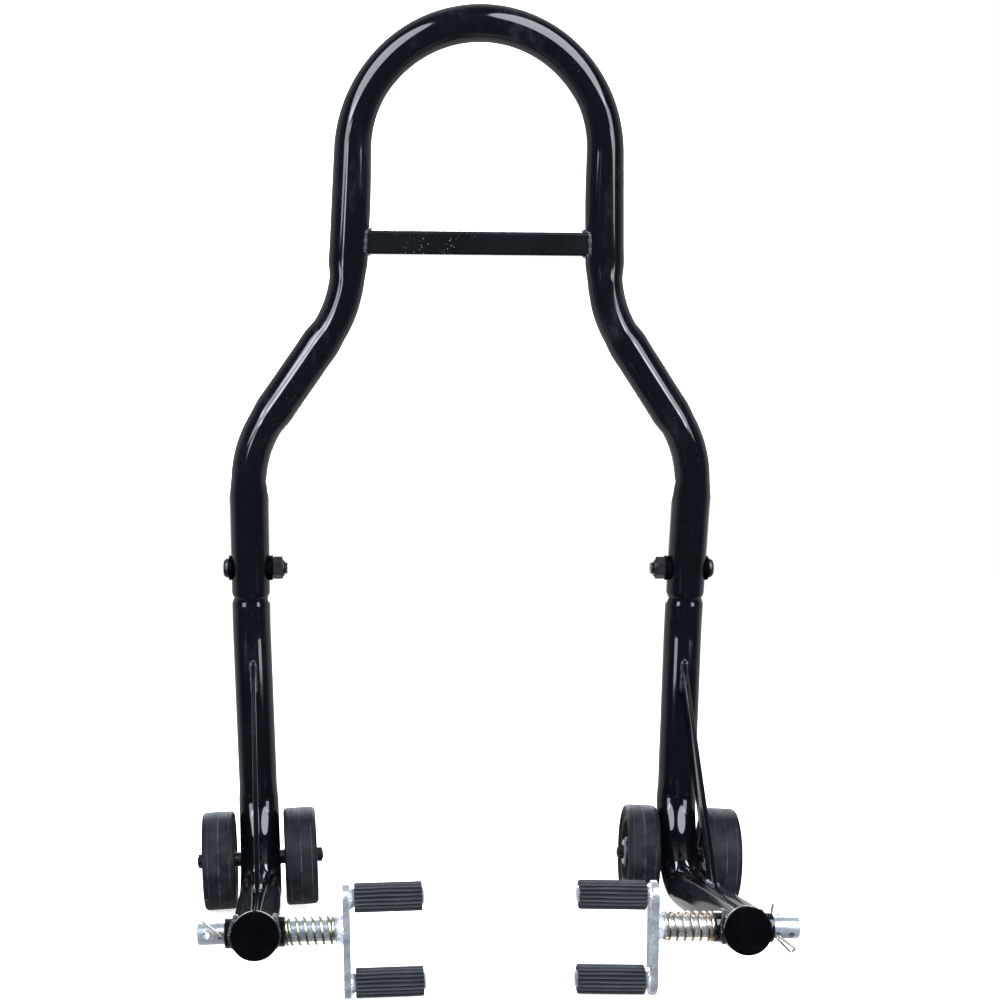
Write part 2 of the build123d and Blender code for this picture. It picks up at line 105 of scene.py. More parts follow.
BUSH_R = 7.5 * MM
AXLE_NUT_AF = 12 * MM
AXLE_NUT_HEIGHT = 5 * MM
AXLE_END_R = 4 * MM
SLEEVE_R = 11 * MM
SLEEVE_HALF = 21.5 * MM
SHAFT_R = 8 * MM
PLATE_OUT = 63 * MM
PLATE_THICK = 5 * MM
PLATE_WIDTH = 21.2 * MM
UPPER_PIN_UP = 22 * MM
LOWER_PIN_DOWN = 39 * MM
WELD_LENGTH = 4.5 * MM
WELD_SPREAD = 2.5 * MM
PIN_R = 6 * MM
RUBBER_R = 10.5 * MM
RUBBER_LENGTH = 49 * MM
RIB_DEPTH = 1.5 * MM
SPRING_R = 10.75 * MM
SPRING_WIRE_R = 0.9 * MM
THRUST_WASHER_HALF = 0.5 * MM

# ---- Looks only ----
PANEL_TINT = (0.84, 0.90, 1.0)
EDGE_LINE_IN = 5 * MM      # from the tyre's side to its edge line
RING = 72                    # points round a tube's section
TURNED = 96                  # points round a turned part
WHEEL_POINTS = 128           # points round a tyre and its core
UP = Vector((0.0, 0.0, 1.0))


# ---- Places ----
def place(across, forward, height):
    """A point of the row from its distance across, forward of the legs and above the floor."""
    return Vector((across, LEG_PLANE_Y - forward, height))


def handle_place(across, up):
    """A point in the plane of the handle: up is measured along the handle from its tube ends."""
    along = up + SWAGE_BELOW_END
    return place(across, along * sin(LEAN), JOINT_CORNER_Z + along * cos(LEAN))


def middle(node):
    low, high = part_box(node)
    return (low + high) / 2


def facing(origin, z_dir, x_hint):
    """The matrix of a frame with this Z direction, and X as near the hint as can be."""
    z_axis = z_dir.normalized()
    x_axis = (x_hint - z_axis * x_hint.dot(z_axis)).normalized()
    y_axis = z_axis.cross(x_axis)
    turn = Matrix((x_axis, y_axis, z_axis)).transposed()
    return Matrix.Translation(origin) @ turn.to_4x4()


# ---- Meshes ----
def smooth_step(value):
    value = min(max(value, 0.0), 1.0)
    return value * value * (3 - 2 * value)


def angles(count):
    """Evenly spaced angles of one full turn."""
    return [2 * pi * i / count for i in range(count)]


def polar(radius, angle, z=0.0):
    return Vector((radius * cos(angle), radius * sin(angle), z))


def circle(radius, count=TURNED, z=0.0):
    return [polar(radius, a, z) for a in angles(count)]


def skin(rings, joined=False):
    """Vertices and faces of a closed surface through rings of equal length.

    Joined rings run back to the first one, and others end in flat caps.
    """
    count = len(rings[0])
    verts = [point for ring in rings for point in ring]
    faces = []
    for row in range(len(rings) if joined else len(rings) - 1):
        here = row * count
        there = (row + 1) % len(rings) * count
        for i in range(count):
            j = (i + 1) % count
            faces.append((here + i, here + j, there + j, there + i))
    if not joined:
        faces.append(tuple(range(count)))
        faces.append(tuple(range(len(verts) - count, len(verts))))
    return verts, faces


def new_object(name, data):
    obj = bpy.data.objects.new(name, data)
    bpy.context.scene.collection.objects.link(obj)
    return obj


def piece(name, shape, finish, slot, body="frame", matrix=None, sharp_deg=32.0, nodes=()):
    """A finished mesh object that rides on a body and stands for CAD nodes."""
    verts, faces = shape
    mesh = bpy.data.meshes.new(name)
    mesh.from_pydata(verts, [], faces)
    built = bmesh.new()
    built.from_mesh(mesh)
    bmesh.ops.recalc_face_normals(built, faces=built.faces)
    built.to_mesh(mesh)
    built.free()
    mesh.shade_smooth()
    mesh.set_sharp_from_angle(angle=radians(sharp_deg))
    mesh.materials.append(finish)
    obj = new_object(name, mesh)
    if matrix is not None:
        obj.matrix_world = matrix
    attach(obj, body)
    if nodes:
        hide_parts(*nodes)
    return obj


def rounded_outline(corners, step_deg=15.0):
    """A closed outline from corners (x, y, rounding radius)."""
    outline = []
    for i, (x, y, radius) in enumerate(corners):
        here = Vector((x, y))
        if radius == 0:
            outline.append(here)
            continue
        arriving = (here - Vector(corners[i - 1][:2])).normalized()
        leaving = (Vector(corners[(i + 1) % len(corners)][:2]) - here).normalized()
        turn = arriving.angle(leaving)
        inward = (leaving - arriving * cos(turn)) / sin(turn)
        start = here - arriving * radius * tan(turn / 2)
        steps = max(2, ceil(degrees(turn) / step_deg))
        for k in range(steps + 1):
            a = turn * k / steps
            inset = inward * radius * (1 - cos(a))
            outline.append(start + inset + arriving * radius * sin(a))
    return outline


def turned(outline):
    """A ring turned from a closed outline of (radius, z) points."""
    return skin([circle(r, WHEEL_POINTS, z) for r, z in outline], joined=True)


def rounded_path(corners, radii, run_step=4 * MM, arc_step=1.6 * MM):
    """Straight runs joined by tangent arcs.

    Gives samples (distance, point, direction) and each bend's (start, end) distance.
    """
    samples = []
    bends = []
    travelled = 0.0

    def straight(start, end):
        nonlocal travelled
        length = (end - start).length
        direction = (end - start).normalized()
        steps = max(1, ceil(length / run_step))
        for k in range(steps):
            point = start + (end - start) * (k / steps)
            samples.append((travelled + length * k / steps, point, direction))
        travelled += length

    start = corners[0]
    for i, radius in enumerate(radii, 1):
        arriving = (corners[i] - corners[i - 1]).normalized()
        leaving = (corners[i + 1] - corners[i]).normalized()
        turn = arriving.angle(leaving)
        inward = (leaving - arriving * cos(turn)) / sin(turn)
        cut = radius * tan(turn / 2)
        bend_start = corners[i] - arriving * cut
        straight(start, bend_start)
        length = radius * turn
        steps = ceil(length / arc_step)
        for k in range(steps):
            a = turn * k / steps
            inset = inward * radius * (1 - cos(a))
            point = bend_start + inset + arriving * radius * sin(a)
            direction = arriving * cos(a) + inward * sin(a)
            samples.append((travelled + radius * a, point, direction))
        bends.append((travelled, travelled + length))
        travelled += length
        start = corners[i] + leaving * cut
    straight(start, corners[-1])
    samples.append((travelled, corners[-1], (corners[-1] - start).normalized()))
    return samples, bends


def squeeze(bends, amounts, distance):
    """How much narrower the tube is across its bends at this distance.

    Each bend has its squeeze, the swell beside it and the length over which the squeeze sets in.
    """
    swell_at = 11 * MM
    swell_width = 7 * MM
    total = 0.0
    for (start, end), (squeezed, swollen, blend) in zip(bends, amounts):
        inside = smooth_step((distance - start) / blend + 0.5)
        inside *= smooth_step((end - distance) / blend + 0.5)
        before = exp(-(((distance - start + swell_at) / swell_width) ** 2))
        after = exp(-(((distance - end - swell_at) / swell_width) ** 2))
        total += squeezed * inside - swollen * (before + after)
    return total


def tube(samples, across, radius_at, squeeze_at, inner_radius, shift_at=None):
    """A hollow tube with rounded lips, swept along samples.

    across is the direction square to the bends, along which the tube widens as it is squeezed.
    """
    widening = 0.55
    outer, inner = [], []
    for distance, point, direction in samples:
        side = (across - direction * across.dot(direction)).normalized()
        flat = side.cross(direction)
        if shift_at is not None:
            point = point + flat * shift_at(distance)
        amount = squeeze_at(distance)
        wide = 1 + widening * amount
        thin = 1 - amount
        for rings, radius in ((outer, radius_at(distance)), (inner, inner_radius)):
            ring = []
            for a in angles(RING):
                offset = side * (radius * wide * cos(a)) + flat * (radius * thin * sin(a))
                ring.append(point + offset)
            rings.append(ring)
    return skin(outer + inner[::-1], joined=True)


def with_close_ends(samples, near=(0.25, 0.6, 1.2, 2.0, 3.0, 4.5, 6.0)):
    """The samples with some extra ones near both ends, for the shape of the tube's lips."""
    first, last = samples[0], samples[-1]
    total = last[0]
    extra = [(d * MM, first[1] + first[2] * d * MM, first[2]) for d in near]
    extra += [(total - d * MM, last[1] - last[2] * d * MM, last[2]) for d in near]
    kept = [s for s in samples if all(abs(s[0] - e[0]) > 0.2 * MM for e in extra)]
    return sorted(kept + extra, key=lambda s: s[0])


def lip(distance_from_end, depth, drop):
    """How far the outside is rounded in towards the tube's end."""
    if distance_from_end >= depth:
        return 0.0
    share = 1 - distance_from_end / depth
    return drop * (1 - sqrt(max(0.0, 1 - share * share)))


# ---- Materials ----
class Nodes:
    """Adds nodes to a node tree and links them."""

    def __init__(self, tree):
        self.tree = tree

    def feed(self, socket, value):
        if isinstance(value, bpy.types.NodeSocket):
            self.tree.links.new(value, socket)
        else:
            socket.default_value = value

    def node(self, kind, inputs=None, **settings):
        """A shader node with its settings, and a value or a socket for each of these inputs."""
        made = self.tree.nodes.new("ShaderNode" + kind)
        for key, value in settings.items():
            setattr(made, key, value)
        for key, value in (inputs or {}).items():
            self.feed(made.inputs[key], value)
        return made

    def axes(self, coords):
        """The X, Y and Z sockets of some coordinates."""
        return self.node("SeparateXYZ", {"Vector": coords}).outputs

    def remap(self, value, low, high, to_low=0.0, to_high=1.0):
        inputs = {"Value": value, "From Min": low, "From Max": high, "To Min": to_low,
                  "To Max": to_high}
        return self.node("MapRange", inputs, interpolation_type="SMOOTHSTEP").outputs[0]

    def maths(self, operation, first, second=0.0):
        return self.node("Math", {0: first, 1: second}, operation=operation).outputs[0]

    def times(self, first, second):
        return self.maths("MULTIPLY", first, second)


class Finish(Nodes):
    """A node material under construction."""

    def __init__(self, name):
        self.material = bpy.data.materials.new(name)
        self.material.use_nodes = True
        super().__init__(self.material.node_tree)
        self.shader = self.tree.nodes["Principled BSDF"]
        self.coords = self.node("TexCoord").outputs["Object"]

    def stretched(self, scale):
        return self.node("Mapping", {"Vector": self.coords, "Scale": scale}).outputs[0]

    def noise(self, scale, detail=3.0, roughness=0.5, coords=None, distortion=0.0):
        inputs = {"Vector": coords or self.coords, "Scale": scale, "Detail": detail,
                  "Roughness": roughness, "Distortion": distortion}
        return self.node("TexNoise", inputs).outputs[0]

    def specks(self, scale, full, none, places):
        """Dots that are full up to one distance from their middles and gone by another."""
        cells = self.node("TexVoronoi", {"Vector": self.coords, "Scale": scale})
        dots = self.remap(cells.outputs["Distance"], full, none, 1.0, 0.0)
        return self.times(dots, places)

    def blend(self, share, low, high):
        low, high = (c if isinstance(c, bpy.types.NodeSocket) else (*c, 1.0) for c in (low, high))
        return self.node("Mix", {0: share, 6: low, 7: high}, data_type="RGBA").outputs[2]

    def bump(self, height, strength, distance, below=None):
        inputs = {"Height": height, "Strength": strength, "Distance": distance}
        if below is not None:
            inputs["Normal"] = below
        return self.node("Bump", inputs).outputs[0]

    def finish(self, colour, roughness, normal, metallic=0.0, specular=0.5):
        inputs = {"Base Color": colour, "Roughness": roughness, "Normal": normal,
                  "Metallic": metallic, "Specular IOR Level": specular}
        for key, value in inputs.items():
            self.feed(self.shader.inputs[key], value)
        return self.material


def black_paint():
    """Glossy black powder coat: faint orange peel, dust specks and light rubbing marks."""
    f = Finish("black_paint")
    peel = f.noise(190.0, 2.0, 0.45)
    fine = f.noise(900.0, 2.0, 0.5)
    cloudy = f.noise(14.0, 4.0, 0.6)
    dust = f.specks(260.0, 0.05, 0.11, f.remap(f.noise(22.0, 3.0, 0.6), 0.5, 0.72))
    rubbed = f.remap(f.noise(30.0, 6.0, 0.75, f.stretched((1.0, 1.0, 0.25))), 0.56, 0.76)
    tone = f.blend(cloudy, (0.0010, 0.0015, 0.0025), (0.0021, 0.0027, 0.0042))
    tone = f.blend(f.times(rubbed, 0.25), tone, (0.03, 0.033, 0.04))
    tone = f.blend(f.times(dust, 0.35), tone, (0.2, 0.21, 0.22))
    roughness = f.remap(cloudy, 0.3, 0.8, 0.06, 0.10)
    roughness = f.maths("ADD", roughness, f.times(rubbed, 0.05))
    roughness = f.maths("ADD", roughness, f.times(dust, 0.3))
    normal = f.bump(peel, 0.025, 0.0004)
    normal = f.bump(fine, 0.015, 0.0001, normal)
    return f.finish(tone, roughness, normal)


def satin_paint():
    """The cross bar's duller coat, with settled dust."""
    f = Finish("satin_black_paint")
    cloudy = f.noise(25.0, 4.0, 0.6)
    dust = f.specks(420.0, 0.10, 0.20, f.remap(f.noise(70.0, 2.0, 0.5), 0.44, 0.56))
    across = f.axes(f.coords)[0]
    left_of_middle = f.times(f.remap(across, -80 * MM, -50 * MM),
                             f.remap(across, -30 * MM, 5 * MM, 1.0, 0.0))
    dust = f.times(dust, left_of_middle)
    tone = f.blend(cloudy, (0.0014, 0.0018, 0.0024), (0.0026, 0.0031, 0.0040))
    tone = f.blend(f.times(dust, 0.6), tone, (0.34, 0.35, 0.36))
    roughness = f.remap(cloudy, 0.3, 0.8, 0.3, 0.42)
    roughness = f.maths("ADD", roughness, f.times(dust, 0.2))
    normal = f.bump(f.noise(420.0, 3.0, 0.5), 0.08, 0.0003)
    return f.finish(tone, roughness, normal, specular=0.12)


def weld_paint():
    """Paint over weld beads and spatter, a little rougher than the tubes."""
    f = Finish("painted_weld")
    grain = f.noise(600.0, 4.0, 0.6)
    tone = f.blend(grain, (0.004, 0.005, 0.008), (0.014, 0.016, 0.020))
    roughness = f.remap(grain, 0.3, 0.7, 0.26, 0.42)
    return f.finish(tone, roughness, f.bump(grain, 0.3, 0.0006))


def zinc(name="bright_zinc", tint=(1.0, 1.0, 1.0), stain=(0.62, 0.60, 0.50), stain_share=0.25):
    """Bright zinc plate: mottled, scratched, with duller and stained patches."""
    f = Finish(name)
    blotches = f.noise(95.0, 5.0, 0.65, distortion=0.6)
    fine = f.noise(700.0, 4.0, 0.6)
    scratches = f.remap(f.noise(60.0, 8.0, 0.8, f.stretched((0.25, 3.0, 3.0))), 0.52, 0.6)
    low = tuple(a * b for a, b in zip((0.21, 0.24, 0.28), tint))
    high = tuple(a * b for a, b in zip((0.54, 0.57, 0.61), tint))
    tone = f.blend(f.remap(blotches, 0.3, 0.7), low, high)
    stained = f.times(f.remap(f.noise(45.0, 3.0, 0.6), 0.52, 0.7), stain_share)
    tone = f.blend(stained, tone, stain)
    roughness = f.remap(blotches, 0.3, 0.7, 0.40, 0.20)
    roughness = f.maths("ADD", roughness, f.times(scratches, 0.12))
    normal = f.bump(blotches, 0.07, 0.0008)
    normal = f.bump(fine, 0.12, 0.0002, normal)
    return f.finish(tone, roughness, normal, metallic=0.75)


def weld_zinc():
    """Plated weld: rippled, lighter on its crests as a painted highlight and darker in its
    hollows.
    """
    f = Finish("zinc_weld")
    grain = f.noise(420.0, 5.0, 0.65)
    # The grain that raises the bumps also colours them: a painted highlight on the crests, darker
    # in the hollows.
    tone = f.blend(f.remap(grain, 0.25, 0.6), (0.20, 0.23, 0.27), (0.72, 0.75, 0.78))
    roughness = f.remap(grain, 0.3, 0.7, 0.36, 0.18)
    return f.finish(tone, roughness, f.bump(grain, 0.35, 0.0008), metallic=0.6)


def spring_wire(name, light, dark):
    """Passivated spring wire, iridescent from one turn to the next."""
    f = Finish(name)
    drift = f.noise(140.0, 3.0, 0.6)
    fine = f.noise(1500.0, 3.0, 0.6)
    tone = f.blend(f.remap(drift, 0.35, 0.65), dark, light)
    roughness = f.remap(fine, 0.3, 0.7, 0.22, 0.36)
    return f.finish(tone, roughness, f.bump(fine, 0.15, 0.0001), metallic=1.0)


def black_zinc():
    """Black plated fasteners, lightened in a few spots by wear and by painted glints."""
    f = Finish("black_zinc")
    patches = f.noise(160.0, 4.0, 0.6)
    # Light spots that are partly wear and partly painted glints.
    wear_and_glints = f.remap(f.noise(420.0, 5.0, 0.7), 0.6, 0.74)
    tone = f.blend(patches, (0.018, 0.018, 0.021), (0.055, 0.053, 0.056))
    tone = f.blend(f.times(wear_and_glints, 0.8), tone, (0.45, 0.44, 0.42))
    roughness = f.remap(patches, 0.3, 0.7, 0.24, 0.42)
    normal = f.bump(f.noise(900.0, 3.0, 0.6), 0.2, 0.0002)
    return f.finish(tone, roughness, normal, metallic=0.85)


def tyre_rubber():
    """Hard black rubber: a scuffed band round the tread, fine lines, streaks and nicks."""
    f = Finish("wheel_rubber")
    from_middle = f.maths("ABSOLUTE", f.axes(f.coords)[2])
    band = f.remap(from_middle, 3 * MM, 12 * MM, 1.0, 0.25)
    streaks = f.noise(38.0, 5.0, 0.65, f.stretched((1.0, 1.0, 2.5)))
    scuffs = f.remap(f.noise(75.0, 6.0, 0.7), 0.42, 0.72)
    wear = f.times(band, f.remap(streaks, 0.35, 0.68))
    tone = f.blend(wear, (0.0036, 0.0044, 0.0062), (0.0078, 0.0092, 0.0124))
    tone = f.blend(f.times(scuffs, 0.25), tone, (0.030, 0.034, 0.042))
    past_edge_line = f.maths("SUBTRACT", from_middle, WHEEL_WIDTH / 2 - EDGE_LINE_IN)
    from_edge_line = f.maths("ABSOLUTE", past_edge_line)
    lines = f.maths("MAXIMUM", f.remap(from_middle, 0.1 * MM, 0.6 * MM, 1.0, 0.0),
                    f.remap(from_edge_line, 0.1 * MM, 0.6 * MM, 0.7, 0.0))
    lines = f.times(lines, f.remap(streaks, 0.38, 0.62, 0.1, 1.0))
    tone = f.blend(f.times(lines, 0.6), tone, (0.075, 0.080, 0.090))
    nicks = f.specks(170.0, 0.06, 0.12, f.remap(f.noise(50.0, 2.0, 0.5), 0.56, 0.64))
    tone = f.blend(f.times(nicks, 0.8), tone, (0.26, 0.27, 0.28))
    roughness = f.remap(streaks, 0.3, 0.7, 0.46, 0.64)
    normal = f.bump(f.noise(800.0, 4.0, 0.6), 0.18, 0.0003)
    normal = f.bump(scuffs, 0.05, 0.0004, normal)
    return f.finish(tone, roughness, normal, specular=0.11)


def moulded(name, dark, light, roughness_low, roughness_high, specular=0.5, grain=650.0):
    """Moulded black plastic or rubber with a fine grain and dusty patches."""
    f = Finish(name)
    patches = f.noise(60.0, 4.0, 0.6)
    texture = f.noise(grain, 4.0, 0.6)
    dust = f.specks(420.0, 0.06, 0.14, f.remap(patches, 0.5, 0.7))
    tone = f.blend(f.remap(patches, 0.3, 0.7), dark, light)
    tone = f.blend(f.times(dust, 0.25), tone, (0.15, 0.15, 0.16))
    roughness = f.remap(texture, 0.3, 0.7, roughness_low, roughness_high)
    return f.finish(tone, roughness, f.bump(texture, 0.2, 0.0004), specular=specular)


def ribbed_grip():
    """Rubber with painted highlight on its ridges and painted shade in its valleys, by distance
    from its axis.
    """
    f = Finish("pin_rubber")
    axes = f.axes(f.coords)
    squares = [f.times(axes[i], axes[i]) for i in (0, 1)]
    radial = f.maths("SQRT", f.maths("ADD", *squares))
    # Painted light and shade: the ridges are lightened and the valleys darkened by their distance
    # from the axis.
    ridge = f.remap(radial, RUBBER_R - 0.75 * MM, RUBBER_R - 0.05 * MM)
    texture = f.noise(650.0, 4.0, 0.6)
    patches = f.noise(60.0, 4.0, 0.6)
    crest = f.blend(f.remap(patches, 0.3, 0.7), (0.013, 0.015, 0.020), (0.022, 0.025, 0.032))
    tone = f.blend(ridge, (0.004, 0.005, 0.007), crest)
    roughness = f.remap(texture, 0.3, 0.7, 0.5, 0.68)
    return f.finish(tone, roughness, f.bump(texture, 0.2, 0.0004), specular=0.35)


PAINT = black_paint()
SATIN = satin_paint()
WELD = weld_paint()
ZINC = zinc()
ZINC_WELD = weld_zinc()
BLACK_ZINC = black_zinc()
TYRE = tyre_rubber()
CORE = moulded("wheel_plastic", (0.003, 0.003, 0.004), (0.007, 0.007, 0.009), 0.35, 0.5, 0.3)
BUSH = moulded("bush_plastic", (0.02, 0.02, 0.022), (0.04, 0.04, 0.042), 0.3, 0.42)
CAP = moulded("cap_plastic", (0.0003, 0.0003, 0.0006), (0.0008, 0.0008, 0.0013), 0.5, 0.65,
              specular=0.02, grain=900.0)
GRIP = ribbed_grip()
SPLIT = zinc("split_pin_zinc", (0.96, 0.88, 0.70), (0.50, 0.44, 0.30), 0.35)
# Finishes with their material slots
PAINTED = (PAINT, "black_paint")
BLACKENED = (BLACK_ZINC, "black_zinc")
SPRINGS = {
    "left": spring_wire("spring_yellow_green", (0.74, 0.75, 0.50), (0.40, 0.42, 0.27)),
    "right": spring_wire("spring_golden", (0.84, 0.62, 0.42), (0.50, 0.38, 0.24)),
}


def coat(node, finish):
    """A carried-over CAD node gets a finish in place of its own."""
    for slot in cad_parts[node].material_slots:
        slot.material = finish


# ---- Tubes ----
def handle_tube():
    side_top = TOP_UP + TOP_R / sin(SIDE_TAPER)
    left = [(-JOINT_ACROSS, 0.0), (-JOINT_ACROSS, FLARE_FROM), (-KNEE_ACROSS, KNEE_UP)]
    right = [(-across, up) for across, up in reversed(left)]
    corners = [handle_place(across, up) for across, up in left + [(0.0, side_top)] + right]
    samples, bends = rounded_path(corners, [DIE_R, DIE_R, TOP_R, DIE_R, DIE_R])
    samples = with_close_ends(samples)
    total = samples[-1][0]
    across = Vector((0.0, -cos(LEAN), -sin(LEAN)))
    lower = (0.07, 0.012, 16 * MM)
    knee = (0.075, 0.012, 16 * MM)
    top = (0.1, 0.0, 110 * MM)

    def radius_at(distance):
        from_end = min(distance, total - distance)
        return TUBE_R - lip(from_end, 4.5 * MM, 1.55 * MM)

    def squeeze_at(distance):
        return squeeze(bends, [lower, knee, top, knee, lower], distance)

    def shift_at(distance):
        """The top is pressed from inside the bend, so its outer edge stays in place."""
        return TUBE_R * squeeze([bends[2]], [top], distance)

    shape = tube(samples, across, radius_at, squeeze_at, NECK_R + 0.05 * MM, shift_at)
    piece("handle_tube_bent", shape, *PAINTED, nodes=["handle_tube"])


def elbow_corner(name, side):
    """The corner of leg and arm that puts the middle of the elbow at the axle."""
    sleeve = middle(f"shaft_sleeve_{name}")
    axle = middle(f"axle_{name}")
    joint = handle_place(side * JOINT_ACROSS, -SWAGE_BELOW_END)
    height = 0.0
    for _ in range(8):
        corner = place(side * ELBOW_ACROSS, 0.0, height)
        leg_dir = (joint - corner).normalized()
        arm_dir = (sleeve - corner).normalized()
        half = leg_dir.angle(arm_dir) / 2
        to_bend = (arm_dir + leg_dir).normalized()
        bend_middle = corner + to_bend * (ELBOW_R / sin(half) - ELBOW_R)
        height += axle.z - bend_middle.z
    return corner, leg_dir, arm_dir


def lower_leg(name, side):
    corner = elbow_corner(name, side)[0]
    sleeve = middle(f"shaft_sleeve_{name}")
    tip = corner + (sleeve - corner) * (ARM_TIP_FORWARD / SLEEVE_FORWARD)
    corners = [
        handle_place(side * JOINT_ACROSS, NECK_LENGTH),
        handle_place(side * JOINT_ACROSS, -SWAGE_BELOW_END),
        corner,
        tip,
    ]
    samples, bends = rounded_path(corners, [DIE_R, ELBOW_R], run_step=2.5 * MM)
    samples = with_close_ends(samples)
    total = samples[-1][0]
    taper_from = NECK_LENGTH + 1 * MM
    taper_length = 7 * MM

    def radius_at(distance):
        grown = smooth_step((distance - taper_from) / taper_length)
        return NECK_R + (TUBE_R - NECK_R) * grown - lip(total - distance, 0.8 * MM, 0.5 * MM)

    def squeeze_at(distance):
        return squeeze(bends, [(0.0, 0.0, 16 * MM), (0.075, 0.01, 16 * MM)], distance)

    shape = tube(samples, Vector((1.0, 0.0, 0.0)), radius_at, squeeze_at, NECK_R - TUBE_WALL)
    piece(f"lower_leg_bent_{name}", shape, *PAINTED, nodes=[f"lower_leg_{name}"])


def brace(name, side):
    """Flat bar across the corner of leg and arm, with its edges broken."""
    corner, leg_dir, arm_dir = elbow_corner(name, side)
    normal = arm_dir.cross(leg_dir).normalized()
    top = corner + leg_dir * (BRACE_TOP_Z - corner.z) + arm_dir * TUBE_R
    foot = corner + arm_dir * BRACE_FOOT_FORWARD + leg_dir * TUBE_R
    along = (foot - top).normalized()
    sunk = 1.3 * MM
    top_inner = top - leg_dir * BRACE_WIDTH / sin((-leg_dir).angle(along))
    foot_inner = foot - arm_dir * BRACE_WIDTH / sin(arm_dir.angle(along))
    outline = [
        top - arm_dir * sunk,
        foot - leg_dir * sunk,
        foot_inner - leg_dir * sunk,
        top_inner - arm_dir * sunk,
    ]
    built = bmesh.new()
    near = [built.verts.new(p + normal * BRACE_THICK / 2) for p in outline]
    far = [built.verts.new(p - normal * BRACE_THICK / 2) for p in outline]
    built.faces.new(near)
    built.faces.new(far[::-1])
    for i in range(4):
        j = (i + 1) % 4
        built.faces.new((near[i], far[i], far[j], near[j]))
    bmesh.ops.bevel(built, geom=built.edges[:], offset=0.6 * MM, segments=3, profile=0.5,
                    affect="EDGES")
    bmesh.ops.recalc_face_normals(built, faces=built.faces)
    verts = [v.co.copy() for v in built.verts]
    faces = [tuple(v.index for v in f.verts) for f in built.faces]
    built.free()
    piece(f"brace_bar_{name}", (verts, faces), *PAINTED, nodes=[f"brace_{name}"])
    outward = normal if normal.x * side > 0 else -normal
    toe = [top + normal * 2.2 * MM, top - normal * 2.2 * MM]
    weld(f"brace_toe_weld_{name}", toe, 2.8 * MM, PAINT, pitch=1.4 * MM)
    for label, way in (("out", outward), ("in", -outward)):
        offset = way * BRACE_THICK / 2
        for end, line in (("top", (top, top_inner)), ("foot", (foot, foot_inner))):
            path = [point + offset for point in line]
            weld(f"brace_{end}_weld_{label}_{name}", path, 1.7 * MM)


# ---- Welds ----
def weld(name, path, radius, finish=WELD, closed=False, pitch=1.9 * MM):
    """A hand-laid painted bead along a path of points: overlapping ripples of uneven size."""
    step = 0.35 * MM
    aslant = Vector((0.31, 0.52, 0.79))
    rng = random.Random(name)
    points = [Vector(p) for p in path]
    if closed:
        points.append(points[0])
    lengths = [(b - a).length for a, b in zip(points, points[1:])]
    total = sum(lengths)
    steps = max(8, ceil(total / step))
    drift = [rng.uniform(0.8, 1.2) for _ in range(ceil(total / pitch) + 3)]
    rings = []
    for k in range(steps if closed else steps + 1):
        distance = total * k / steps
        left = distance
        leg = 0
        while leg < len(lengths) - 1 and left > lengths[leg]:
            left -= lengths[leg]
            leg += 1
        point = points[leg].lerp(points[leg + 1], min(left / lengths[leg], 1.0))
        ahead = (points[leg + 1] - points[leg]).normalized()
        side = ahead.cross(aslant).normalized()
        other = ahead.cross(side)
        bead = distance / pitch
        whole = int(bead)
        size = drift[whole] + (drift[whole + 1] - drift[whole]) * (bead - whole)
        size *= 0.86 + 0.2 * abs(sin(pi * bead))
        if not closed:
            from_end = max(0.0, min(distance, total - distance))
            size *= 0.25 + 0.75 * sqrt(min(from_end / (1.6 * radius), 1.0))
        ring = []
        for a in angles(16):
            lump = 1 + 0.05 * sin(3 * a + 1.7 * bead)
            ring.append(point + (side * cos(a) + other * sin(a)) * radius * size * lump)
        rings.append(ring)
    piece(name, skin(rings, joined=closed), finish, "black_paint", sharp_deg=60.0)


def cross_bar_welds():
    """Beads round both ends of the cross bar, where it meets the handle's sides."""
    half_length = KNEE_ACROSS - (CROSS_BAR_UP - KNEE_UP) * tan(SIDE_TAPER)
    half = CROSS_BAR_SIZE / 2
    up_dir = (handle_place(0.0, 1.0) - handle_place(0.0, 0.0)).normalized()
    front = Vector((0.0, -cos(LEAN), -sin(LEAN)))
    corners = ((-half, -half), (half, -half), (half, half), (-half, half))
    outline = rounded_outline([(x, y, 3 * MM) for x, y in corners])
    for name, side in SIDES.items():
        path = []
        for i, start in enumerate(outline):
            end = outline[(i + 1) % len(outline)]
            for k in range(4):
                flat = start.lerp(end, k / 4)
                depth = sqrt(TUBE_R**2 - min(abs(flat.x), half) ** 2)
                across = side * (half_length - depth - flat.y * tan(SIDE_TAPER) + 0.4 * MM)
                path.append(handle_place(across, CROSS_BAR_UP) + front * flat.x + up_dir * flat.y)
        weld(f"cross_bar_weld_{name}", path, 2.1 * MM, closed=True)


def inboard_along(name):
    """The direction along an adapter's shaft towards the middle of the stand."""
    return (middle(f"spring_washer_{name}") - middle(f"shaft_sleeve_{name}")).normalized()


def sleeve_welds(name):
    """Beads where the shaft's sleeve leaves the arm on both sides."""
    sleeve = middle(f"shaft_sleeve_{name}")
    inboard = inboard_along(name)
    for label, way in (("inboard", inboard), ("outboard", -inboard)):
        base = facing(sleeve, way, UP)
        path = []
        for a in angles(48):
            up = SLEEVE_R * cos(a)
            out = sqrt(TUBE_R**2 - up**2)
            path.append(base @ Vector((up, SLEEVE_R * sin(a), out)))
        weld(f"sleeve_weld_{label}_{name}", path, 1.7 * MM, closed=True)


# ---- Fasteners ----
def hex_ring(across_flats, z, limit=inf):
    """A hexagon round Z, cut off beyond a limiting radius."""
    ring = []
    for a in angles(TURNED):
        from_flat = (a + pi / 6) % (pi / 3) - pi / 6
        ring.append(polar(min(across_flats / 2 / cos(from_flat), limit), a, z))
    return ring


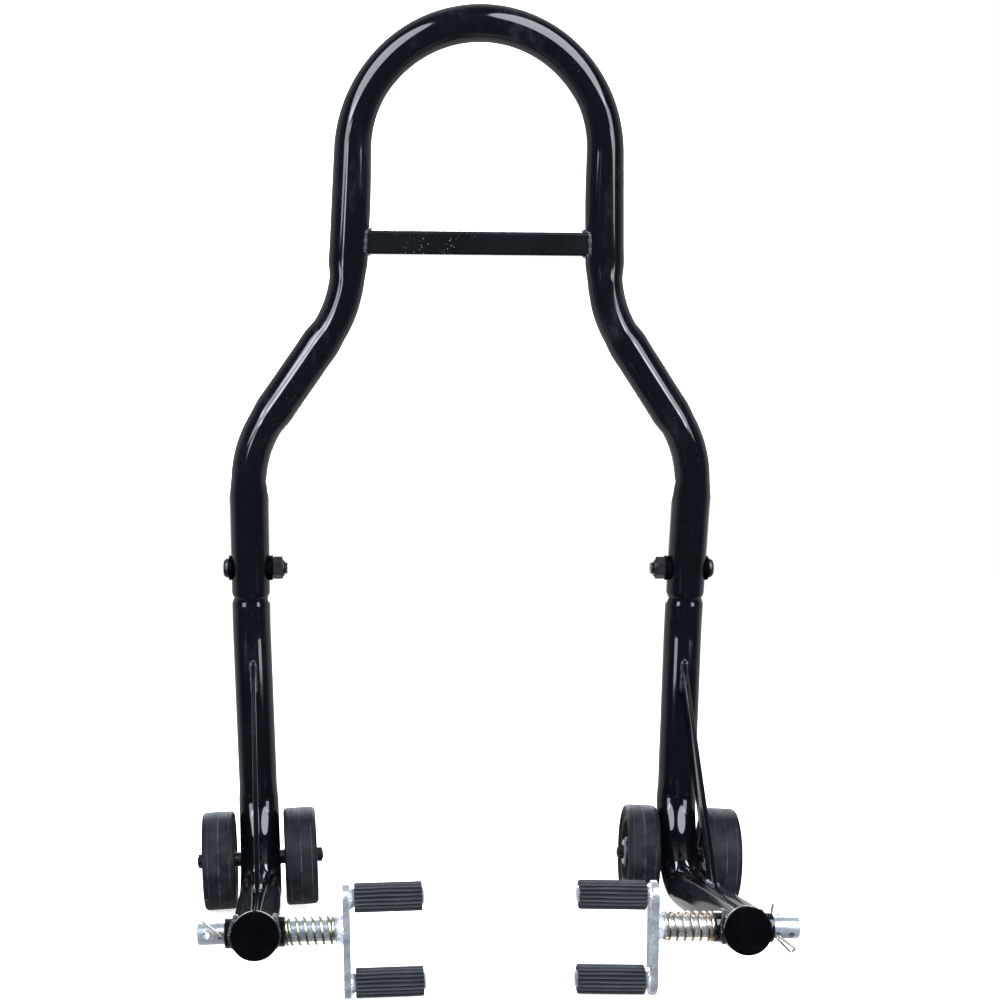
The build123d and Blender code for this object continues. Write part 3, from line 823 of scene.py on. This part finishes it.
def nut(across_flats, height, bore, collar=0.0):
    """A hexagon nut along Z with chamfered faces and, with a collar, a locking ring on top."""
    corner = across_flats / sqrt(3)
    chamfer_r = across_flats / 2 * 0.97
    chamfer_rise = 0.05 * across_flats
    steps = 6
    chamfer = []
    for k in range(steps + 1):
        chamfer.append((chamfer_r + (corner - chamfer_r) * k / steps, chamfer_rise * k / steps))
    body_top = height - collar
    rings = [circle(bore, z=0.0), circle(across_flats / 2 * 0.96, z=0.0)]
    rings += [hex_ring(across_flats, z, limit) for limit, z in chamfer]
    rings += [hex_ring(across_flats, body_top - z, limit) for limit, z in reversed(chamfer)]
    if collar:
        collar_r = across_flats * 0.43
        rounding = collar * 0.6
        rings.append(circle(collar_r, z=body_top))
        for k in range(5):
            a = pi / 2 * k / 4
            edge_z = height - rounding * (1 - sin(a))
            rings.append(circle(collar_r - rounding * (1 - cos(a)), z=edge_z))
        rings.append(circle(bore * 1.06, z=height))
    rings.append(circle(bore, z=height - 0.4 * MM if collar else body_top))
    return skin(rings, joined=True)


def threaded(radius, length, pitch):
    """The threaded end of a bolt along Z, its tip chamfered."""
    depth = 0.54 * pitch
    levels = ceil(length / pitch * 12)
    rings = []
    for k in range(levels + 1):
        z = length * k / levels
        ring = []
        from_tip = length - z
        for a in angles(TURNED):
            phase = (z / pitch - a / (2 * pi)) % 1.0
            r = radius - depth * abs(2 * phase - 1)
            r = min(r, radius - depth * 1.1 + from_tip)
            ring.append(polar(r, a, z))
        rings.append(ring)
    return skin(rings)


def bolt_head():
    """A button head along Z from its seat, with a hexagon socket."""
    socket_flats = 8 * MM
    floor = JOINT_HEAD_HEIGHT - 2.6 * MM
    top_r = 5.6 * MM
    edge_z = 1 * MM

    def dome(radius):
        share = max(0.0, (radius - top_r) / (JOINT_HEAD_R - top_r))
        return edge_z + (JOINT_HEAD_HEIGHT - edge_z) * sqrt(max(0.0, 1 - share**2.2))

    rim = hex_ring(socket_flats, JOINT_HEAD_HEIGHT - 0.3 * MM)
    rings = [hex_ring(socket_flats, floor), rim]
    for t in (0.06, 0.3, 0.6, 0.8, 1.0):
        ring = []
        for p in rim:
            flat = p.xy
            r = flat.length + (top_r - flat.length) * t
            ring.append((*(flat.normalized() * r), dome(r)))
        rings.append(ring)
    for t in (0.12, 0.25, 0.4, 0.55, 0.7, 0.82, 0.91, 0.97, 1.0):
        r = top_r + (JOINT_HEAD_R - top_r) * t
        rings.append(circle(r, z=dome(r)))
    rings.append(circle(JOINT_HEAD_R, z=0.35 * MM))
    rings.append(circle(JOINT_HEAD_R - 0.3 * MM, z=0.0))
    return skin(rings)


def saddle_washer(thickness):
    """A washer along Z, flat at 0, whose other face wraps the tube at front and back."""
    dip = 2 * MM
    edge = 0.4 * MM
    hole = JOINT_BOLT_R + 0.2 * MM
    tube_side = (
        (hole, 1.0),
        (JOINT_WASHER_R * 0.8, 1.0),
        (JOINT_WASHER_R - edge, 1.0),
        (JOINT_WASHER_R, 0.8),
    )
    rings = []
    for r, share in tube_side:
        ring = []
        for p in circle(r):
            depth = thickness + dip * (p.y / JOINT_WASHER_R) ** 2
            ring.append((p.x, p.y, -depth * share))
        rings.append(ring)
    rings.append(circle(JOINT_WASHER_R, z=-edge))
    rings.append(circle(JOINT_WASHER_R - edge, z=0.0))
    rings.append(circle(hole, z=0.0))
    return skin(rings, joined=True)


def frame_joint(name, side):
    """Bolt, washers and locking nut of one frame joint. The nut is inboard."""
    across_out = Vector((side, 0.0, 0.0))
    axis = middle(f"frame_bolt_{name}")
    axis.x = side * JOINT_ACROSS
    up = Vector((0.0, -sin(LEAN), cos(LEAN)))
    seat_out = TUBE_R + JOINT_WASHER_OUT
    seat_in = TUBE_R + JOINT_WASHER_IN
    outer = facing(axis + across_out * seat_out, across_out, up)
    inner = facing(axis - across_out * seat_in, -across_out, up)
    piece(f"bolt_head_{name}", bolt_head(), *BLACKENED, matrix=outer, sharp_deg=25.0,
          nodes=[f"frame_bolt_{name}"])
    shank = skin([circle(JOINT_BOLT_R, z=z) for z in (0.0, seat_out + seat_in)])
    back_to_back = Matrix.Rotation(pi, 4, "X")
    piece(f"bolt_shank_{name}", shank, *BLACKENED, matrix=inner @ back_to_back)
    thread = threaded(JOINT_BOLT_R, JOINT_NUT_HEIGHT + JOINT_BOLT_PAST_NUT, JOINT_PITCH)
    piece(f"bolt_thread_{name}", thread, *BLACKENED, matrix=inner)
    turn = Matrix.Rotation(radians(30 + 8 * side), 4, "Z")
    lock_nut = nut(JOINT_NUT_AF, JOINT_NUT_HEIGHT, JOINT_BOLT_R - 0.2 * MM, collar=1.2 * MM)
    piece(f"frame_lock_nut_{name}", lock_nut, *BLACKENED, matrix=inner @ turn, sharp_deg=25.0,
          nodes=[f"frame_nut_{name}"])
    washer_out = saddle_washer(JOINT_WASHER_OUT)
    piece(f"saddle_washer_out_{name}", washer_out, CAP, "black_zinc", matrix=outer,
          nodes=[f"frame_washers_{name}"])
    washer_in = saddle_washer(JOINT_WASHER_IN)
    piece(f"saddle_washer_in_{name}", washer_in, CAP, "black_zinc", matrix=inner)


# ---- Wheels ----
def tyre_outline():
    """Half the tyre's section mirrored: rounded shoulders, edge lines and a moulding ridge."""
    half = WHEEL_WIDTH / 2
    seam = 0.14 * MM
    groove = 0.3 * MM
    groove_half = 0.4 * MM
    upper = [
        (WHEEL_R + seam, 0.0, 0.0),
        (WHEEL_R, 0.35 * MM, 0.0),
        (WHEEL_R, half - EDGE_LINE_IN - groove_half, 0.0),
        (WHEEL_R - groove, half - EDGE_LINE_IN, 0.0),
        (WHEEL_R, half - EDGE_LINE_IN + groove_half, 0.0),
        (WHEEL_R, half, 3.8 * MM),
        (WHEEL_R - 7 * MM, half, 0.8 * MM),
        (WHEEL_R - 8 * MM, half - 1.4 * MM, 0.5 * MM),
        (CORE_R, half - 1.8 * MM, 0.0),
    ]
    lower = [(r, -z, radius) for r, z, radius in reversed(upper[1:])]
    return rounded_outline(lower + upper)


def core_outline():
    rim_half = CORE_RIM_WIDTH / 2
    web_half = CORE_WEB / 2
    hub_half = HUB_WIDTH / 2
    upper = [
        (CORE_R, rim_half, 0.6 * MM),
        (CORE_RIM_R, rim_half, 1 * MM),
        (CORE_RIM_R - 0.6 * MM, web_half, 2.5 * MM),
        (HUB_R + 0.6 * MM, web_half, 2.5 * MM),
        (HUB_R, hub_half, 1 * MM),
        (BUSH_R, hub_half, 0.0),
    ]
    lower = [(r, -z, radius) for r, z, radius in reversed(upper)]
    return rounded_outline(upper + lower)


def wheels(name):
    """Tyres and cores of a leg's two wheels, with the nuts on the ends of their axle."""
    parts = (
        ("tyre", tyre_outline(), TYRE, "wheel_rubber", 20.0),
        ("core", core_outline(), CORE, "wheel_plastic", 30.0),
    )
    axle = middle(f"axle_{name}")
    outer, inner = (middle(f"wheel_tyre_{name}_{position}") for position in ("outer", "inner"))
    outward = (outer - inner).normalized()
    for position, way in (("outer", outward), ("inner", -outward)):
        body = f"wheel_{name}_{position}"
        centre = middle(f"wheel_tyre_{name}_{position}")
        here = facing(centre, way, UP)
        for part, outline, finish, slot, sharp_deg in parts:
            piece(f"{part}_{name}_{position}", turned(outline), finish, slot, body, here,
                  sharp_deg, [f"wheel_{part}_{name}_{position}"])
        coat(f"wheel_bush_{name}_{position}", BUSH)
        nut_at = WHEEL_OUT + HUB_WIDTH / 2 + 1.5 * MM
        nut_frame = facing(axle + way * nut_at, way, Vector((0.0, 0.3, 1.0)))
        nodes = [f"axle_nuts_{name}"] if position == "outer" else []
        shape = nut(AXLE_NUT_AF, AXLE_NUT_HEIGHT, AXLE_END_R)
        piece(f"axle_nut_{name}_{position}", shape, *BLACKENED, matrix=nut_frame, sharp_deg=25.0,
              nodes=nodes)
    for node in ("axle", "axle_spacers"):
        coat(f"{node}_{name}", BLACK_ZINC)
    coat(f"axle_washers_{name}", ZINC)


# ---- Fork pin adapters ----
def spring(name, side):
    """Closed-end coil from sleeve to thrust washer; the real one shortens as the adapter slides
    out.
    """
    sleeve = middle(f"shaft_sleeve_{name}")
    washer = middle(f"spring_washer_{name}")
    inboard = inboard_along(name)
    gap = 0.05 * MM
    start = SLEEVE_HALF + SPRING_WIRE_R + gap
    end = (washer - sleeve).length - THRUST_WASHER_HALF - SPRING_WIRE_R - gap
    base = facing(sleeve + inboard * start, inboard, UP)
    height = end - start
    turns = 7.2
    closed = 0.95
    closed_rise = 2.05 * SPRING_WIRE_R * closed
    coil_r = SPRING_R - SPRING_WIRE_R
    first_angle = 0.6 if side < 0 else 2.2
    per_turn = 56
    steps = int(turns * per_turn)
    rings = []

    def rise(turn):
        if turn < closed:
            return closed_rise * turn / closed
        if turn > turns - closed:
            return height - closed_rise * (turns - turn) / closed
        share = (turn - closed) / (turns - 2 * closed)
        return closed_rise + (height - 2 * closed_rise) * share

    for k in range(steps + 1):
        turn = turns * k / steps
        a = 2 * pi * turn + first_angle
        centre = polar(coil_r, a, rise(turn))
        out = polar(1.0, a)
        ring = []
        for b in angles(14):
            offset = (out * cos(b) + UP * sin(b)) * SPRING_WIRE_R
            ring.append(base @ (centre + offset))
        rings.append(ring)
    made = piece(f"coil_spring_{name}", skin(rings), SPRINGS[name], "yellow_zinc",
                 nodes=[f"spring_{name}"])
    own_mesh(made)


def ribbed_rubber(name, which):
    """A rubber sleeve with rounded ribs along it and eased ends."""
    ribs = 20
    count = ribs * 10
    half = RUBBER_LENGTH / 2

    def ring(z, shrink):
        out = []
        for a in angles(count):
            drift = 0.012 * sin(z / (7 * MM) + 2.0 * a)
            wave = 0.5 + 0.5 * cos(ribs * a + drift * ribs)
            valley = (1 - wave) ** 1.15
            r = RUBBER_R - shrink - RIB_DEPTH * valley
            out.append(polar(r, a, z))
        return out

    bore = PIN_R + 0.02 * MM
    eased_end = ((0.0, 0.8), (0.15, 0.45), (0.4, 0.15), (0.8, 0.0), (2.5, 0.0))
    rings = [circle(bore, count, -half)]
    rings += [ring(-half + inset * MM, shrink * MM) for inset, shrink in eased_end]
    rings += [ring(-half + RUBBER_LENGTH * k / 31, 0.0) for k in range(2, 30)]
    rings += [ring(half - inset * MM, shrink * MM) for inset, shrink in reversed(eased_end)]
    rings.append(circle(bore, count, half))
    node = f"pin_rubber_{which}_{name}"
    here = facing(middle(node), inboard_along(name), UP)
    piece(f"ribbed_rubber_{which}_{name}", skin(rings, joined=True), GRIP, "pin_rubber",
          f"fork_adapter_{name}", here, 40.0, [node])


def plate_ring(inset, z):
    """The fork plate's outline, round at both pins, drawn in by an inset."""
    radius = PLATE_WIDTH / 2 - inset
    ring = []
    for a in angles(64):
        centre = UPPER_PIN_UP if sin(a) >= 0 else -LOWER_PIN_DOWN
        ring.append((radius * cos(a), centre + radius * sin(a), z))
    return ring


def adapter_plate(name):
    """The plate with broken edges, and its welds to the shaft and to both pins."""
    inboard = inboard_along(name)
    face = middle(f"shaft_sleeve_{name}") + inboard * PLATE_OUT
    up = (UP - inboard * UP.dot(inboard)).normalized()
    base = facing(face, inboard, up.cross(inboard))
    edge = 0.9 * MM
    quarter = [pi / 2 * k / 6 for k in range(7)]
    rings = []
    for a in quarter:
        rings.append(plate_ring(edge * (1 - sin(a)), edge * (1 - cos(a))))
    for a in quarter:
        rings.append(plate_ring(edge * (1 - cos(a)), PLATE_THICK - edge * (1 - sin(a))))
    body = f"fork_adapter_{name}"
    piece(f"fork_plate_{name}", skin(rings), ZINC, "bright_zinc", body, base,
          nodes=[f"adapter_plate_{name}"])
    weld_cone(f"shaft_weld_{name}", base, SHAFT_R + 0.2 * MM, SHAFT_R + WELD_SPREAD,
              -WELD_LENGTH - 1 * MM, 0.5 * MM, body)
    for which, height in (("upper", UPPER_PIN_UP), ("lower", -LOWER_PIN_DOWN)):
        root = base @ Matrix.Translation((0.0, height, PLATE_THICK))
        weld_cone(f"pin_weld_{which}_{name}", root, PIN_R + 0.3 * MM, PIN_R + 2.6 * MM,
                  3.4 * MM, -0.4 * MM, body)


def weld_cone(name, base, thin_r, wide_r, thin_z, wide_z, body):
    """A rippled fillet weld round a bar, from thin_z on the bar to wide_z in the plate."""
    rng = random.Random(name)
    ripples = rng.randint(17, 21)
    waves = [(rng.uniform(0.05, 0.12), rng.randint(2, 5), rng.uniform(0, 6.28)) for _ in range(3)]
    inner_r = thin_r - 1.2 * MM
    levels = 9
    rings = [circle(inner_r, z=wide_z)]
    for k in range(levels + 1):
        share = k / levels
        ring = []
        for a in angles(TURNED):
            uneven = sum(size * sin(n * a + shift) for size, n, shift in waves)
            crest = abs(sin(ripples * a / 2 + 2.2 * share))
            reach = (wide_r - thin_r) * (1 + uneven)
            ripple = 0.35 * MM * crest * sin(pi * min(share + 0.15, 1.0))
            profile = (1 - share) ** 1.25 * reach + ripple
            ring.append(polar(thin_r + profile, a, wide_z + (thin_z - wide_z) * share))
        rings.append(ring)
    rings.append(circle(inner_r, z=thin_z))
    piece(name, skin(rings, joined=True), ZINC_WELD, "bright_zinc", body, base, 50.0)


def build():
    handle_tube()
    coat("cross_bar", SATIN)
    cross_bar_welds()
    for name, side in SIDES.items():
        lower_leg(name, side)
        brace(name, side)
        sleeve_welds(name)
        frame_joint(name, side)
        wheels(name)
        spring(name, side)
        adapter_plate(name)
        for which in ("upper", "lower"):
            ribbed_rubber(name, which)
        coat(f"shaft_sleeve_{name}", PAINT)
        coat(f"arm_cap_{name}", CAP)
        for node in ("adapter_shaft", "adapter_pins", "spring_washer"):
            coat(f"{node}_{name}", ZINC)
        coat(f"split_pin_{name}", SPLIT)


build()


# ---- Studio ----
def studio_floor():
    half = 60.0
    verts = [(-half, -half, 0.0), (half, -half, 0.0), (half, half, 0.0), (-half, half, 0.0)]
    mesh = bpy.data.meshes.new("studio_floor")
    mesh.from_pydata(verts, [], [(0, 1, 2, 3)])
    f = Finish("pale_floor")
    tone = f.blend(f.noise(3.0, 4.0, 0.6), (0.90, 0.90, 0.90), (0.94, 0.94, 0.94))
    normal = f.bump(f.noise(300.0, 2.0, 0.5), 0.05, 0.0002)
    mesh.materials.append(f.finish(tone, 0.8, normal, specular=0.2))
    f.shader.inputs["Emission Color"].default_value = (1.0, 1.0, 1.0, 1.0)
    f.shader.inputs["Emission Strength"].default_value = 0.7
    floor = new_object("studio_floor", mesh)
    floor.visible_glossy = False


def studio_world():
    """White behind the stand and dark in front, so black paint shows its shape by its rims."""
    world = bpy.data.worlds.new("studio")
    bpy.context.scene.world = world
    world.use_nodes = True
    background = world.node_tree.nodes["Background"]
    w = Nodes(world.node_tree)
    away = w.axes(w.node("TexCoord").outputs["Generated"])[1]
    fade = w.remap(away, -0.25, 0.45, 0.045, 1.0)
    ray = w.node("LightPath").outputs
    dimmed = w.remap(ray["Is Glossy Ray"], 0.0, 1.0, 1.0, 0.55)
    strength = w.maths("MAXIMUM", w.times(fade, dimmed), ray["Is Camera Ray"])
    w.feed(background.inputs["Strength"], strength)
    background.inputs["Color"].default_value = (1.0, 1.0, 1.0, 1.0)


def aimed(centre, way):
    """The matrix of a light or camera at a point, looking along a direction."""
    return Matrix.Translation(centre) @ way.to_track_quat("-Z", "Y").to_matrix().to_4x4()


def panel_light(name, shape, size, energy, matrix, tint=PANEL_TINT):
    """An area light that the camera does not see."""
    light = bpy.data.lights.new(name, "AREA")
    light.shape = shape
    light.size, light.size_y = size
    light.energy = energy
    light.color = tint
    obj = new_object(name, light)
    obj.matrix_world = matrix
    obj.visible_camera = False
    return obj


def softbox(name, azimuth_deg, low_deg, high_deg, distance, width, radiance, shape="RECTANGLE"):
    """An upright panel aimed at the stand, seen from it between two elevations."""
    target = Vector((0.0, 0.0, 0.4))
    low = distance * tan(radians(low_deg))
    high = distance * tan(radians(high_deg))
    a = radians(azimuth_deg)
    centre = target + Vector((sin(a) * distance, -cos(a) * distance, (low + high) / 2))
    level = Vector((target.x - centre.x, target.y - centre.y, 0.0))
    height = high - low
    filled = pi / 4 if shape == "ELLIPSE" else 1.0
    energy = radiance * pi * width * height * filled
    return panel_light(name, shape, (width, height), energy, aimed(centre, level))


def strip(name, target, azimuth_deg, elevation_deg, size, spread_deg, energy):
    """A small panel beside the camera with a narrow beam, which only its target reflects."""
    distance = 1.2
    a = radians(azimuth_deg)
    rise = tan(radians(elevation_deg))
    centre = target + distance * Vector((sin(a), -cos(a), rise))
    made = panel_light(name, "RECTANGLE", size, energy, aimed(centre, target - centre))
    made.data.spread = radians(spread_deg)


def overhead_fill(radiance):
    """A square panel above the stand that lights it without showing in its gloss."""
    size = 3.0
    above = Matrix.Translation((0.0, 0.0, 3.0))
    energy = radiance * pi * size**2
    made = panel_light("overhead_fill", "RECTANGLE", (size, size), energy, above, (1.0, 1.0, 1.0))
    made.visible_glossy = False


def camera():
    """A camera in front of the stand, a little to its left and looking slightly up."""
    data = bpy.data.cameras.new("camera")
    data.sensor_width = 36.0
    data.lens = 52.28
    data.shift_x = 0.077
    data.shift_y = 0.0346
    data.clip_start = 0.05
    obj = new_object("camera", data)
    yaw = radians(2.5)
    pitch = radians(1.32)
    level = cos(pitch)
    ahead = Vector((sin(yaw) * level, cos(yaw) * level, sin(pitch)))
    obj.matrix_world = aimed(Vector((-0.1023, -1.2068, 0.3097)), ahead)
    bpy.context.scene.camera = obj


studio_floor()
studio_world()
softbox("softbox_left", -41.0, 4.0, 53.0, 2.2, 2.0, 9.5, "ELLIPSE")
softbox("low_box_left", -48.0, -7.5, 12.0, 2.2, 0.74, 8.0)
softbox("softbox_right", 33.0, 4.0, 58.0, 2.2, 2.1, 10.0, "ELLIPSE")
softbox("low_box_right", 48.0, -7.5, 12.0, 2.2, 0.74, 8.0)
back_panel = softbox("back_panel", 180.0, 2.0, 44.0, 2.5, 2.9, 8.0)
back_panel.visible_diffuse = False
strip("left_side_strip", Vector((-0.14, 0.06, 0.52)), -33.8, -15.4, (0.3, 0.4), 10.0, 0.018)
strip("left_knee_strip", Vector((-0.157, 0.086, 0.48)), -31.0, -6.0, (0.3, 0.3), 14.0, 0.042)
strip("right_knee_strip", Vector((0.157, 0.086, 0.48)), 35.0, -8.0, (0.3, 0.3), 12.0, 0.026)
overhead_fill(2.0)
camera()
bpy.context.scene.view_settings.view_transform = "Standard"
